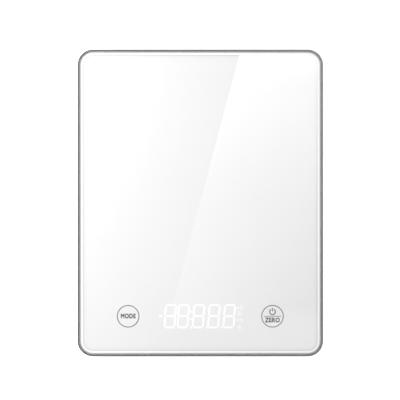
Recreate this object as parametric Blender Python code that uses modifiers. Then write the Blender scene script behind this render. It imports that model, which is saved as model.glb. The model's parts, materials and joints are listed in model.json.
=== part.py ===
"""Slim kitchen scale: a tempered glass platform on a frame, a bottom cover and four load-cell feet.

Row frame: metres, +Z up, origin at the middle of the footprint on the surface that the feet stand on.
The display and the two touch keys are at the -Y end, which faces the user.
"""

import math

import bmesh
import bpy
from mathutils import Matrix, Vector

MM = 0.001

# Driving dimensions
WIDTH = 160 * MM
LENGTH = 200 * MM
HEIGHT = 20 * MM
CORNER_RADIUS = 10 * MM
GLASS_THICKNESS = 4 * MM
CLEARANCE = 0.3 * MM
LAYER_GAP = 0.15 * MM
# How far joined shapes reach into each other, and how far cutters reach past a face
OVERLAP = 0.5 * MM
CUT_MARGIN = 1 * MM

# Levels above the table, from the glass down
GLASS_TOP = HEIGHT
GLASS_BOTTOM = GLASS_TOP - GLASS_THICKNESS
PRINT_TOP = GLASS_BOTTOM - LAYER_GAP
PRINT_BOTTOM = PRINT_TOP - 0.2 * MM
TAPE_TOP = PRINT_BOTTOM - LAYER_GAP
TAPE_BOTTOM = TAPE_TOP - 0.5 * MM
DECK_TOP = TAPE_BOTTOM - LAYER_GAP
DECK_BOTTOM = DECK_TOP - 1.6 * MM
LIP_TOP = GLASS_BOTTOM + 1.2 * MM
SKIRT_BOTTOM = 9.5 * MM
COVER_BOTTOM = 2.5 * MM
FLOOR_TOP = COVER_BOTTOM + 2 * MM
CELL_BOTTOM = 7.5 * MM
CELL_TOP = CELL_BOTTOM + 1.5 * MM
BOARD_BOTTOM = 7.6 * MM
BOARD_TOP = BOARD_BOTTOM + 1.2 * MM

# The frame's lip is a thin line around the glass
LIP_WIDTH = 0.8 * MM
SKIRT_WALL = 1.6 * MM
LIP_EDGE_RADIUS = 0.3 * MM
GLASS_INSET = LIP_WIDTH + CLEARANCE
GLASS_EDGE_RADIUS = 2.4 * MM
COVER_INSET = 0.5 * MM
COVER_WALL = 2 * MM
COVER_FILLET = 3.2 * MM

# Display, touch keys and main board
DISPLAY_Y = -73.8 * MM
TOUCH_X = 47 * MM
DISPLAY_SIZE = (61 * MM, 20.5 * MM)
BOARD_SIZE = (109 * MM, 27 * MM)
LANDING_Y = DISPLAY_Y + 11.6 * MM
BOARD_SCREW_X = 37 * MM
BOARD_SCREW_Y = DISPLAY_Y - 10.2 * MM
BOARD_HOLE_RADIUS = 1.1 * MM
TOUCH_SPRING_RADIUS = 4.2 * MM
TOUCH_SPRING_WIRE = 0.35 * MM

# Feet and load cells. A cell's own frame has the foot at its origin and its fixed end towards -Y
FOOT_X = 63 * MM
FOOT_Y = 83 * MM
FOOT_RADIUS = 9 * MM
FOOT_HOLE_RADIUS = FOOT_RADIUS + 0.4 * MM
CELL_HALF_WIDTH = 6 * MM
CELL_END_Y = -28 * MM
CELL_SCREW_YS = (-17 * MM, -24 * MM)
CELL_HOLE_RADIUS = 1.3 * MM
GAUGE_Y = -9 * MM
CORNERS = {"front_left": (-1, -1), "front_right": (1, -1), "rear_left": (-1, 1), "rear_right": (1, 1)}

# Case screws, driven from below into the frame's bosses
CASE_SCREWS = {
    "left": (-71 * MM, 0),
    "right": (71 * MM, 0),
    "front_left": (-30 * MM, -92 * MM),
    "front_right": (30 * MM, -92 * MM),
    "rear_left": (-30 * MM, 92 * MM),
    "rear_right": (30 * MM, 92 * MM),
}
CASE_PAD_TOP = 6 * MM
CASE_SCREW_SEAT = COVER_BOTTOM + 1.7 * MM
CASE_PILOT_RADIUS = 1.4 * MM

# Battery compartment for two AAA cells side by side
BATTERY_Y = 10 * MM
BATTERY_RADIUS = 5.15 * MM
BATTERY_PITCH = 11.2 * MM
BATTERY_LENGTH = 44.5 * MM
BATTERY_NUB = (1.9 * MM, 0.8 * MM)
BATTERY_AXIS_Z = 9.75 * MM
CAVITY_SIZE = (51 * MM, 24 * MM)
CAVITY_WALL = 1.5 * MM
CAVITY_TOP = 12 * MM
CONTACT_THICKNESS = 0.4 * MM
TAB_Z = CAVITY_TOP + 0.4 * MM
TAB_END_X = CAVITY_SIZE[0] / 2 + CAVITY_WALL + 1.4 * MM
PAD_SIZE = (64 * MM, 38 * MM)
PAD_TOP = 6.8 * MM

# Battery door, hinged on two pins at its rear edge
DOOR_SIZE = (55 * MM, 28 * MM)
DOOR_THICKNESS = 1.7 * MM
DOOR_CORNER = 1 * MM
DOOR_REAR = 1 * MM
HINGE_Y = BATTERY_Y + DOOR_SIZE[1] / 2 - DOOR_REAR
HINGE_Z = 4.4 * MM
BARREL_RADIUS = 1 * MM
PIN_REACH = 2 * MM
LATCH_HALF_WIDTH = 6 * MM

ROUND_STEPS = 24
SMALL_STEPS = 12
CORNER_STEPS = 8


# Scene and materials


def clear_scene():
    for obj in list(bpy.data.objects):
        bpy.data.objects.remove(obj)


def new_collection(name):
    collection = bpy.data.collections.new(name)
    bpy.context.scene.collection.children.link(collection)
    return collection


def new_material(name, color, roughness, metallic=0.0, alpha=1.0):
    material = bpy.data.materials.new(name)
    material.use_nodes = True
    shader = material.node_tree.nodes["Principled BSDF"]
    shader.inputs["Base Color"].default_value = (*color, 1)
    shader.inputs["Roughness"].default_value = roughness
    shader.inputs["Metallic"].default_value = metallic
    shader.inputs["Alpha"].default_value = alpha
    return material


clear_scene()
PARTS = new_collection("kitchen_scale")
CUTTERS = new_collection("cutters")
GLASS = new_material("clear_glass", (0.86, 0.94, 0.92), 0.03, alpha=0.35)
WHITE_PRINT = new_material("white_print", (0.9, 0.9, 0.9), 0.35)
SILVER_PAINT = new_material("silver_paint", (0.42, 0.43, 0.44), 0.35, metallic=0.6)
WHITE_PLASTIC = new_material("white_plastic", (0.85, 0.85, 0.84), 0.45)
GREY_RUBBER = new_material("grey_rubber", (0.3, 0.3, 0.31), 0.8)
CELL_STEEL = new_material("cell_steel", (0.6, 0.6, 0.62), 0.35, metallic=1)
SCREW_STEEL = new_material("screw_steel", (0.55, 0.55, 0.56), 0.3, metallic=1)
NICKEL = new_material("nickel", (0.72, 0.7, 0.65), 0.25, metallic=1)
BOARD_GREEN = new_material("board_green", (0.02, 0.2, 0.09), 0.4)
CHIP_BLACK = new_material("chip_black", (0.03, 0.03, 0.03), 0.5)
DISPLAY_WHITE = new_material("display_white", (0.82, 0.82, 0.82), 0.4)
BATTERY_SLEEVE = new_material("battery_sleeve", (0.12, 0.2, 0.36), 0.3)
TAPE_GREY = new_material("tape_grey", (0.5, 0.5, 0.5), 0.9)
SEALANT = new_material("sealant", (0.85, 0.83, 0.78), 0.6)
RED_WIRE = new_material("red_wire", (0.6, 0.04, 0.03), 0.5)
BLACK_WIRE = new_material("black_wire", (0.03, 0.03, 0.03), 0.5)
GREY_WIRE = new_material("grey_wire", (0.45, 0.45, 0.47), 0.5)


# Making shapes


def place(name, mesh, material, location=(0, 0, 0), turn_z=0.0, flip=False, parent=None):
    """A named part made from a mesh. flip turns it upside down about X."""
    obj = bpy.data.objects.new(name, mesh)
    obj.location = location
    obj.rotation_euler = (math.pi if flip else 0, 0, turn_z)
    obj.parent = parent
    if not mesh.materials:
        mesh.materials.append(material)
    PARTS.objects.link(obj)
    return obj


def shade(obj):
    obj.data.shade_smooth()
    obj.data.set_sharp_from_angle(angle=math.radians(35))
    return obj


def mesh_from(bm, name):
    mesh = bpy.data.meshes.new(name)
    bm.to_mesh(mesh)
    bm.free()
    return mesh


def box_mesh(name, size, center=(0, 0, 0)):
    bm = bmesh.new()
    bmesh.ops.create_cube(bm, size=1)
    bmesh.ops.scale(bm, vec=size, verts=bm.verts)
    bmesh.ops.translate(bm, vec=center, verts=bm.verts)
    return mesh_from(bm, name)


def cylinder_mesh(name, radius, bottom, top, center=(0, 0), steps=ROUND_STEPS, along_x=False):
    """A cylinder from bottom to top. along_x lays it down, so bottom and top are then X values."""
    bm = bmesh.new()
    bmesh.ops.create_cone(
        bm, cap_ends=True, segments=steps, radius1=radius, radius2=radius, depth=top - bottom
    )
    if along_x:
        bmesh.ops.rotate(bm, cent=(0, 0, 0), matrix=Matrix.Rotation(math.pi / 2, 3, "Y"), verts=bm.verts)
        middle = ((bottom + top) / 2, *center)
    else:
        middle = (*center, (bottom + top) / 2)
    bmesh.ops.translate(bm, vec=middle, verts=bm.verts)
    return mesh_from(bm, name)


def arc(center, radius, start, end, steps):
    """Points on an arc, angles in degrees."""
    angles = [math.radians(start + (end - start) * i / steps) for i in range(steps + 1)]
    return [(center[0] + radius * math.cos(a), center[1] + radius * math.sin(a)) for a in angles]


def rounded_rectangle(width, length, radius, center=(0, 0), steps=CORNER_STEPS):
    """The outline of a rectangle with round corners, counterclockwise."""
    x, y = width / 2 - radius, length / 2 - radius
    outline = []
    for start, (side_x, side_y) in zip((0, 90, 180, 270), ((1, 1), (-1, 1), (-1, -1), (1, -1))):
        corner = (center[0] + side_x * x, center[1] + side_y * y)
        outline += arc(corner, radius, start, start + 90, steps)
    return outline


def circle(radius, center=(0, 0), steps=SMALL_STEPS):
    return arc(center, radius, 0, 360 - 360 / steps, steps - 1)


def inset_outline(inset):
    """The scale's own outline, moved inwards."""
    return rounded_rectangle(WIDTH - 2 * inset, LENGTH - 2 * inset, CORNER_RADIUS - inset)


def plate_mesh(name, outlines, bottom, top):
    """A flat plate with the first outline outside and the others as holes, as a welded mesh."""
    curve = bpy.data.curves.new(name, "CURVE")
    curve.dimensions = "2D"
    curve.fill_mode = "BOTH"
    curve.extrude = (top - bottom) / 2
    for outline in outlines:
        spline = curve.splines.new("POLY")
        spline.points.add(len(outline) - 1)
        spline.use_cyclic_u = True
        for point, (x, y) in zip(spline.points, outline):
            point.co = (x, y, 0, 1)
    shape = bpy.data.objects.new(name, curve)
    shape.location.z = (bottom + top) / 2
    CUTTERS.objects.link(shape)
    bpy.context.view_layer.update()
    evaluated = shape.evaluated_get(bpy.context.evaluated_depsgraph_get())
    mesh = bpy.data.meshes.new_from_object(evaluated)
    mesh.transform(shape.matrix_world)
    bpy.data.objects.remove(shape)
    bpy.data.curves.remove(curve)
    bm = bmesh.new()
    bm.from_mesh(mesh)
    bmesh.ops.remove_doubles(bm, verts=bm.verts, dist=1e-6)
    bmesh.ops.recalc_face_normals(bm, faces=bm.faces)
    bm.to_mesh(mesh)
    bm.free()
    mesh.name = name
    return mesh


def tool(mesh, name):
    """A helper object that cuts or joins, kept out of the render."""
    obj = bpy.data.objects.new(name, mesh)
    obj.hide_render = True
    obj.display_type = "WIRE"
    CUTTERS.objects.link(obj)
    return obj


def combine(obj, mesh, operation):
    modifier = obj.modifiers.new(mesh.name, "BOOLEAN")
    modifier.operation = operation
    modifier.object = tool(mesh, f"{obj.name}_{mesh.name}")
    modifier.solver = "EXACT"


def cut(obj, mesh):
    combine(obj, mesh, "DIFFERENCE")


def fuse(obj, mesh):
    combine(obj, mesh, "UNION")


def round_edges(obj, level, width, segments):
    """Rounds the rim of a plate without holes, at the height of its top or of its underside."""
    bm = bmesh.new()
    bm.from_mesh(obj.data)
    weight = bm.edges.layers.float.new("bevel_weight_edge")
    cap = [face for face in bm.faces if all(abs(vert.co.z - level) < 1e-6 for vert in face.verts)]
    rim = bmesh.ops.dissolve_faces(bm, faces=cap)["region"][0].edges
    for edge in rim:
        edge[weight] = 1
    bm.to_mesh(obj.data)
    bm.free()
    modifier = obj.modifiers.new(f"round_{segments}", "BEVEL")
    modifier.limit_method = "WEIGHT"
    modifier.width = width
    modifier.segments = segments
    modifier.use_clamp_overlap = False


def turned_mesh(name, profile, steps=ROUND_STEPS):
    """A turned solid. The profile starts and ends on the axis and runs down its outer side."""
    mesh = bpy.data.meshes.new(name)
    edges = [(i, i + 1) for i in range(len(profile) - 1)]
    mesh.from_pydata([(radius, 0, height) for radius, height in profile], edges, [])
    obj = bpy.data.objects.new(name, mesh)
    CUTTERS.objects.link(obj)
    screw = obj.modifiers.new("turn", "SCREW")
    screw.steps = steps
    screw.render_steps = steps
    screw.use_merge_vertices = True
    screw.merge_threshold = 0.00001
    solid = baked_mesh(obj)
    bpy.data.objects.remove(obj)
    return solid


def baked_mesh(obj):
    """The mesh that an object's modifiers make, for parts that share it."""
    bpy.context.view_layer.update()
    evaluated = obj.evaluated_get(bpy.context.evaluated_depsgraph_get())
    mesh = bpy.data.meshes.new_from_object(evaluated)
    mesh.name = obj.name
    return mesh


def add_wire(name, points, radius, material, location=(0, 0, 0), resolution=1):
    """A filled tube along a list of points, with 4 sides and 2 more for each step of resolution."""
    curve = bpy.data.curves.new(name, "CURVE")
    curve.dimensions = "3D"
    curve.bevel_depth = radius
    curve.bevel_resolution = resolution
    curve.use_fill_caps = True
    spline = curve.splines.new("POLY")
    spline.points.add(len(points) - 1)
    for target, point in zip(spline.points, points):
        target.co = (*point, 1)
    curve.materials.append(material)
    obj = bpy.data.objects.new(name, curve)
    obj.location = location
    PARTS.objects.link(obj)
    return obj


def smooth_route(points, spacing):
    """Points about a spacing apart on a smooth curve through the given ones (Catmull-Rom)."""
    knots = [Vector(p) for p in points]
    knots = [2 * knots[0] - knots[1], *knots, 2 * knots[-1] - knots[-2]]
    route = []
    for a, b, c, d in zip(knots, knots[1:], knots[2:], knots[3:]):
        steps = max(2, round((c - b).length / spacing))
        for i in range(steps):
            t = i / steps
            bend = (2 * a - 5 * b + 4 * c - d) * t**2 + (3 * b - a - 3 * c + d) * t**3
            route.append(b + ((c - a) * t + bend) / 2)
    return [*route, knots[-2]]


def helix(radii, length, turns, steps_per_turn, along_x=False):
    """Points of a coil that starts at the origin and tapers from the first radius to the second."""
    count = round(turns * steps_per_turn)
    points = []
    for i in range(count + 1):
        share = i / count
        angle = 2 * math.pi * turns * share
        radius = radii[0] + (radii[1] - radii[0]) * share
        x, y = radius * math.cos(angle), radius * math.sin(angle)
        rise = length * share
        points.append((rise, x, y) if along_x else (x, y, rise))
    return points


def screw_mesh(name, head_radius, head_height, shank_radius, length):
    """A pan-head screw with a cross recess. The head sits on z = 0 and the shank points down."""
    profile = [
        (0, head_height),
        (0.6 * head_radius, head_height),
        (head_radius, 0.5 * head_height),
        (head_radius, 0),
        (shank_radius, 0),
        (shank_radius, shank_radius - length),
        (0.4 * shank_radius, -length),
        (0, -length),
    ]
    blank = tool(turned_mesh(name, profile, SMALL_STEPS), name)
    slot = (1.1 * head_radius, 0.28 * head_radius, head_height)
    for size in (slot, (slot[1], slot[0], slot[2])):
        cut(blank, box_mesh("recess", size, (0, 0, head_height)))
    return baked_mesh(blank)


# The glass and what is behind it


def add_glass():
    mesh = plate_mesh("glass_plate", [inset_outline(GLASS_INSET)], GLASS_BOTTOM, GLASS_TOP)
    glass = place("glass_plate", mesh, GLASS)
    round_edges(glass, GLASS_TOP, GLASS_EDGE_RADIUS, 4)
    shade(glass)


def add_back_print():
    margin = 0.4 * MM
    outline = inset_outline(GLASS_INSET + margin)
    place("glass_back_print", plate_mesh("print", [outline], PRINT_BOTTOM, PRINT_TOP), WHITE_PRINT)


def add_tape():
    margin, width = 0.6 * MM, 6 * MM
    outlines = [inset_outline(GLASS_INSET + inset) for inset in (margin, margin + width)]
    place("glass_tape", plate_mesh("tape", outlines, TAPE_BOTTOM, TAPE_TOP), TAPE_GREY)


# The frame that carries the glass


def add_frame():
    mesh = plate_mesh("frame", [inset_outline(0)], SKIRT_BOTTOM, LIP_TOP)
    frame = place("top_frame", mesh, SILVER_PAINT)
    round_edges(frame, LIP_TOP, LIP_EDGE_RADIUS, 2)
    recess = plate_mesh("recess", [inset_outline(LIP_WIDTH)], DECK_TOP, LIP_TOP + CUT_MARGIN)
    cavity = plate_mesh("cavity", [inset_outline(SKIRT_WALL)], SKIRT_BOTTOM - CUT_MARGIN, DECK_BOTTOM)
    cut(frame, recess)
    cut(frame, cavity)
    for outline in deck_windows():
        cut(frame, plate_mesh("window", [outline], DECK_BOTTOM - CUT_MARGIN, DECK_TOP + CUT_MARGIN))
    case_boss_radius, board_boss_radius = 3.2 * MM, 2.4 * MM
    for center in CASE_SCREWS.values():
        add_boss(frame, center, case_boss_radius, CASE_PAD_TOP + CLEARANCE, CASE_PILOT_RADIUS)
    for side in (-1, 1):
        center = (side * BOARD_SCREW_X, BOARD_SCREW_Y)
        add_boss(frame, center, board_boss_radius, BOARD_TOP + CLEARANCE, BOARD_HOLE_RADIUS)
    shade(frame)


def deck_windows():
    """Outlines of the deck's openings over the display, the batteries' contacts and the touch springs."""
    corner, margin = 1 * MM, 0.5 * MM
    display_size = [side + 2 * margin for side in DISPLAY_SIZE]
    contact_size = (CAVITY_SIZE[0] + 2 * MM, CAVITY_SIZE[1] + 2 * margin)
    spring_radius = TOUCH_SPRING_RADIUS + 1.6 * MM
    return [
        rounded_rectangle(*display_size, corner, (0, DISPLAY_Y), 2),
        rounded_rectangle(*contact_size, corner, (0, BATTERY_Y), 2),
        circle(spring_radius, (-TOUCH_X, DISPLAY_Y), ROUND_STEPS),
        circle(spring_radius, (TOUCH_X, DISPLAY_Y), ROUND_STEPS),
    ]


def add_boss(frame, center, radius, bottom, pilot_radius):
    """A boss that hangs from the deck, with a blind pilot hole."""
    fuse(frame, cylinder_mesh("boss", radius, bottom, DECK_BOTTOM + OVERLAP, center, SMALL_STEPS))
    pilot_top = DECK_BOTTOM - 0.7 * MM
    cut(frame, cylinder_mesh("pilot", pilot_radius, bottom - CUT_MARGIN, pilot_top, center, SMALL_STEPS))


# The bottom cover


def add_cover():
    mesh = plate_mesh("cover", [inset_outline(COVER_INSET)], COVER_BOTTOM, SKIRT_BOTTOM - CLEARANCE)
    cover = place("bottom_cover", mesh, WHITE_PLASTIC)
    round_edges(cover, COVER_BOTTOM, COVER_FILLET, 4)
    inside = inset_outline(COVER_INSET + COVER_WALL)
    hollow = tool(plate_mesh("hollow", [inside], FLOOR_TOP, HEIGHT), "hollow")
    round_edges(hollow, FLOOR_TOP, COVER_FILLET - COVER_WALL, 2)
    cut(cover, baked_mesh(hollow))
    tongue_inset, tongue_wall = SKIRT_WALL + CLEARANCE, 1.5 * MM
    tongue = [inset_outline(inset) for inset in (tongue_inset, tongue_inset + tongue_wall)]
    tongue_bottom, tongue_top = SKIRT_BOTTOM - 1.5 * MM, DECK_BOTTOM - 0.9 * MM
    fuse(cover, plate_mesh("tongue", tongue, tongue_bottom, tongue_top))
    for side_x, side_y in CORNERS.values():
        add_foot_seat(cover, side_x * FOOT_X, side_y * FOOT_Y, side_y)
    for center in CASE_SCREWS.values():
        add_case_screw_seat(cover, center)
    add_battery_compartment(cover)
    add_stiffening_ribs(cover)
    shade(cover)


def add_foot_seat(cover, x, y, side_y):
    """The guarded hole that a foot moves in, and the block that holds its load cell."""
    guard_wall, guard_top = 1.5 * MM, FLOOR_TOP + 2 * MM
    guard = [circle(FOOT_HOLE_RADIUS + guard_wall, (x, y), ROUND_STEPS)]
    fuse(cover, plate_mesh("foot_guard", guard, FLOOR_TOP - OVERLAP, guard_top))
    hole = [circle(FOOT_HOLE_RADIUS, (x, y), ROUND_STEPS)]
    cut(cover, plate_mesh("foot_hole", hole, COVER_BOTTOM - CUT_MARGIN, guard_top + CUT_MARGIN))
    near, far = -14 * MM, CELL_END_Y
    block_top = CELL_BOTTOM - CLEARANCE
    block_bottom = FLOOR_TOP - OVERLAP
    size = (2 * CELL_HALF_WIDTH + 1 * MM, near - far, block_top - block_bottom)
    middle = (x, y + side_y * (near + far) / 2, (block_top + block_bottom) / 2)
    fuse(cover, box_mesh("cell_block", size, middle))
    pilot_bottom = FLOOR_TOP - 0.3 * MM
    for screw_y in CELL_SCREW_YS:
        pilot = (x, y + side_y * screw_y)
        cut(cover, cylinder_mesh("pilot", CELL_HOLE_RADIUS, pilot_bottom, HEIGHT, pilot, SMALL_STEPS))


def add_case_screw_seat(cover, center):
    """A pad on the floor with a through hole, counterbored from below."""
    pad_radius, head_radius = 5 * MM, 2.9 * MM
    fuse(cover, cylinder_mesh("screw_pad", pad_radius, FLOOR_TOP - OVERLAP, CASE_PAD_TOP, center))
    below = COVER_BOTTOM - CUT_MARGIN
    cut(cover, cylinder_mesh("screw_hole", CASE_PILOT_RADIUS, below, HEIGHT, center, SMALL_STEPS))
    cut(cover, cylinder_mesh("counterbore", head_radius, below, CASE_SCREW_SEAT, center))


def add_battery_compartment(cover):
    middle = (0, BATTERY_Y)
    below = COVER_BOTTOM - CUT_MARGIN
    pad = rounded_rectangle(*PAD_SIZE, 3 * MM, middle, 3)
    fuse(cover, plate_mesh("compartment_pad", [pad], FLOOR_TOP - OVERLAP, PAD_TOP))
    inner = rounded_rectangle(*CAVITY_SIZE, 1 * MM, middle, 2)
    outer_size = [side + 2 * CAVITY_WALL for side in CAVITY_SIZE]
    outer = rounded_rectangle(*outer_size, 2 * MM, middle, 3)
    fuse(cover, plate_mesh("compartment_wall", [outer], PAD_TOP - 2 * OVERLAP, CAVITY_TOP))
    cut(cover, plate_mesh("compartment", [inner], below, CAVITY_TOP + CUT_MARGIN))
    rebate_size = [side + 2 * CLEARANCE for side in DOOR_SIZE]
    rebate_top = COVER_BOTTOM + DOOR_THICKNESS + CLEARANCE
    rebate = rounded_rectangle(*rebate_size, DOOR_CORNER + CLEARANCE, middle, 3)
    cut(cover, plate_mesh("door_rebate", [rebate], below, rebate_top))
    add_hinge_seat(cover, rebate_size[0])
    add_latch_seat(cover)


def add_hinge_seat(cover, slot_length):
    """A slot that the door's barrel turns in, and a socket for each pin."""
    front, rear = HINGE_Y - BARREL_RADIUS - CLEARANCE, HINGE_Y + 2.5 * MM
    top, bottom = HINGE_Z + BARREL_RADIUS + CLEARANCE, COVER_BOTTOM - CUT_MARGIN
    size = (slot_length, rear - front, top - bottom)
    cut(cover, box_mesh("barrel_slot", size, (0, (front + rear) / 2, (top + bottom) / 2)))
    reach = DOOR_SIZE[0] / 2 + PIN_REACH + CLEARANCE
    socket_radius = BARREL_RADIUS + CLEARANCE
    axis = (HINGE_Y, HINGE_Z)
    cut(cover, cylinder_mesh("pin_sockets", socket_radius, -reach, reach, axis, SMALL_STEPS, along_x=True))


def add_latch_seat(cover):
    """A slot for the door's latch and a finger scoop in front of it."""
    front_edge = BATTERY_Y - DOOR_SIZE[1] / 2
    slot_size = (2 * LATCH_HALF_WIDTH + 1 * MM, 2.4 * MM, 6 * MM)
    cut(cover, box_mesh("latch_slot", slot_size, (0, front_edge + 0.9 * MM, PAD_TOP - 1 * MM)))
    scoop_radius, depth = 8 * MM, 1.2 * MM
    center = (front_edge - 1.2 * MM, COVER_BOTTOM + depth - scoop_radius)
    half_length = LATCH_HALF_WIDTH + 0.6 * MM
    cut(cover, cylinder_mesh("scoop", scoop_radius, -half_length, half_length, center, 48, along_x=True))


def add_stiffening_ribs(cover):
    """Low ribs across the floor, behind the compartment and between it and the board."""
    length, height, thickness = 96 * MM, 2.2 * MM, 1.2 * MM
    size = (length, thickness, height + OVERLAP)
    for y in (-45 * MM, -22 * MM, 42 * MM, 66 * MM):
        fuse(cover, box_mesh("rib", size, (0, y, FLOOR_TOP - OVERLAP + size[2] / 2)))


# The battery door, in a frame with its hinge axis as its origin


def add_door():
    length, depth = DOOR_SIZE
    front = DOOR_REAR - depth
    outline = rounded_rectangle(length, depth, DOOR_CORNER, (0, DOOR_REAR - depth / 2), 3)
    bottom = COVER_BOTTOM - HINGE_Z
    mesh = plate_mesh("door", [outline], bottom, bottom + DOOR_THICKNESS)
    door = place("battery_door", mesh, WHITE_PLASTIC, (0, HINGE_Y, HINGE_Z))
    half, reach = length / 2, length / 2 + PIN_REACH
    door_tools = [
        cylinder_mesh("barrel", BARREL_RADIUS, -half, half, steps=SMALL_STEPS, along_x=True),
        cylinder_mesh("pins", 0.9 * BARREL_RADIUS, -reach, reach, steps=SMALL_STEPS, along_x=True),
    ]
    latch_top, latch_bottom = 1.6 * MM, bottom + OVERLAP
    latch_size = (2 * LATCH_HALF_WIDTH, 1.2 * MM, latch_top - latch_bottom)
    latch_middle = (0, front + 0.9 * MM, (latch_top + latch_bottom) / 2)
    door_tools.append(box_mesh("latch", latch_size, latch_middle))
    ridge_size, first_ridge, ridge_pitch = (12 * MM, 0.7 * MM, 0.8 * MM), 3.5 * MM, 1.6 * MM
    for i in range(3):
        ridge_middle = (0, front + first_ridge + i * ridge_pitch, bottom)
        door_tools.append(box_mesh("grip_ridge", ridge_size, ridge_middle))
    for mesh in door_tools:
        fuse(door, mesh)
        door.modifiers[-1].object.parent = door
    shade(door)


# Batteries and their contacts


def battery_mesh():
    """An AAA cell lying along X, with its positive nub at +X and its middle at the origin."""
    nub_radius, nub_height = BATTERY_NUB
    top, bottom = BATTERY_LENGTH / 2 - nub_height, -BATTERY_LENGTH / 2
    chamfer = 0.5 * MM
    rim = BATTERY_RADIUS - chamfer
    profile = [
        (0, top + nub_height),
        (nub_radius, top + nub_height),
        (nub_radius, top),
        (rim, top),
        (BATTERY_RADIUS, top - chamfer),
        (BATTERY_RADIUS, bottom + chamfer),
        (rim, bottom),
        (0, bottom),
    ]
    mesh = turned_mesh("battery", profile)
    mesh.transform(Matrix.Rotation(math.pi / 2, 4, "Y"))
    return mesh


def add_batteries():
    """Two cells in series, head to tail, each between a flat contact and a spring."""
    mesh = battery_mesh()
    wall = CAVITY_SIZE[0] / 2 - 2 * CLEARANCE - CONTACT_THICKNESS / 2
    face = wall - CONTACT_THICKNESS / 2
    spring_length = 2 * (face - 2 * CLEARANCE) - BATTERY_LENGTH
    wire = 0.3 * MM
    for name, side in (("rear", 1), ("front", -1)):
        y = BATTERY_Y + side * BATTERY_PITCH / 2
        x = side * (face - CLEARANCE - BATTERY_LENGTH / 2)
        turn = 0 if side == 1 else math.pi
        battery = place(f"battery_{name}", mesh, BATTERY_SLEEVE, (x, y, BATTERY_AXIS_Z), turn)
        shade(battery)
        coil = helix((3.6 * MM, 2 * MM), spring_length - 2 * wire, 2.5, 12, along_x=True)
        spring = add_wire(f"battery_spring_{name}", coil, wire, NICKEL)
        spring.location = (side * (-face + CLEARANCE + wire), y, BATTERY_AXIS_Z)
        spring.rotation_euler.z = turn
    plate = (CONTACT_THICKNESS, 8 * MM, 7.4 * MM)
    bridge = (CONTACT_THICKNESS, BATTERY_PITCH + plate[1], plate[2])
    location = (-wall, BATTERY_Y, BATTERY_AXIS_Z)
    place("battery_contact_bridge", box_mesh("bridge", bridge), NICKEL, location)
    tab_size = (TAB_END_X - wall, 3 * MM, CONTACT_THICKNESS)
    tab_middle = (tab_size[0] / 2, 0, TAB_Z - BATTERY_AXIS_Z)
    for name, side in (("positive", 1), ("negative", -1)):
        location = (wall, BATTERY_Y + side * BATTERY_PITCH / 2, BATTERY_AXIS_Z)
        contact = place(f"battery_contact_{name}", box_mesh("contact", plate), NICKEL, location)
        fuse(contact, box_mesh("solder_tab", tab_size, tab_middle))
        contact.modifiers[-1].object.parent = contact


# The main board, the display and the touch springs


def add_board():
    outline = rounded_rectangle(*BOARD_SIZE, 1.5 * MM, (0, DISPLAY_Y), 3)
    holes = [circle(BOARD_HOLE_RADIUS, (side * BOARD_SCREW_X, BOARD_SCREW_Y)) for side in (-1, 1)]
    place("main_board", plate_mesh("board", [outline, *holes], BOARD_BOTTOM, BOARD_TOP), BOARD_GREEN)
    display_bottom, display_top = BOARD_TOP + CLEARANCE, TAPE_TOP
    outline = rounded_rectangle(*DISPLAY_SIZE, 0.8 * MM, (0, DISPLAY_Y), 2)
    mesh = plate_mesh("display", [outline], display_bottom, display_top)
    display = place("display_module", mesh, DISPLAY_WHITE)
    round_edges(display, display_top, 0.3 * MM, 1)
    chip_top = BOARD_BOTTOM - CLEARANCE
    chip_size = (9 * MM, 9 * MM, 1.2 * MM)
    chip_center = (0, DISPLAY_Y, chip_top - chip_size[2] / 2)
    place("controller_chip", box_mesh("chip", chip_size), CHIP_BLACK, chip_center)
    spring_bottom = BOARD_TOP + CLEARANCE + TOUCH_SPRING_WIRE
    spring_length = TAPE_TOP - TOUCH_SPRING_WIRE - spring_bottom
    for name, side in (("touch_spring_left", -1), ("touch_spring_right", 1)):
        coil = helix((TOUCH_SPRING_RADIUS,) * 2, spring_length, 4, 12)
        add_wire(name, coil, TOUCH_SPRING_WIRE, NICKEL, (side * TOUCH_X, DISPLAY_Y, spring_bottom))
    mesh = screw_mesh("board_screw", 1.9 * MM, 1.2 * MM, 0.8 * MM, 4.6 * MM)
    for name, side in (("left", -1), ("right", 1)):
        seat = (side * BOARD_SCREW_X, BOARD_SCREW_Y, BOARD_BOTTOM - CLEARANCE)
        shade(place(f"board_screw_{name}", mesh, SCREW_STEEL, seat, flip=True))


# The four corners: a load cell held by the cover, and a foot that moves up and down under it


def cell_outline():
    """A strip with a narrow neck where the strain gauge is."""
    half, neck, slope = CELL_HALF_WIDTH, 3.4 * MM, 1.5 * MM
    neck_far, neck_near = GAUGE_Y - 3.5 * MM, GAUGE_Y + 3.5 * MM
    chamfer = 1 * MM
    right = [
        (half - chamfer, CELL_END_Y),
        (half, CELL_END_Y + chamfer),
        (half, neck_far - slope),
        (neck, neck_far),
        (neck, neck_near),
        (half, neck_near + slope),
        *arc((0, 0), half, 0, 90, 4),
    ]
    return right + [(-x, y) for x, y in reversed(right[:-1])]


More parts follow.
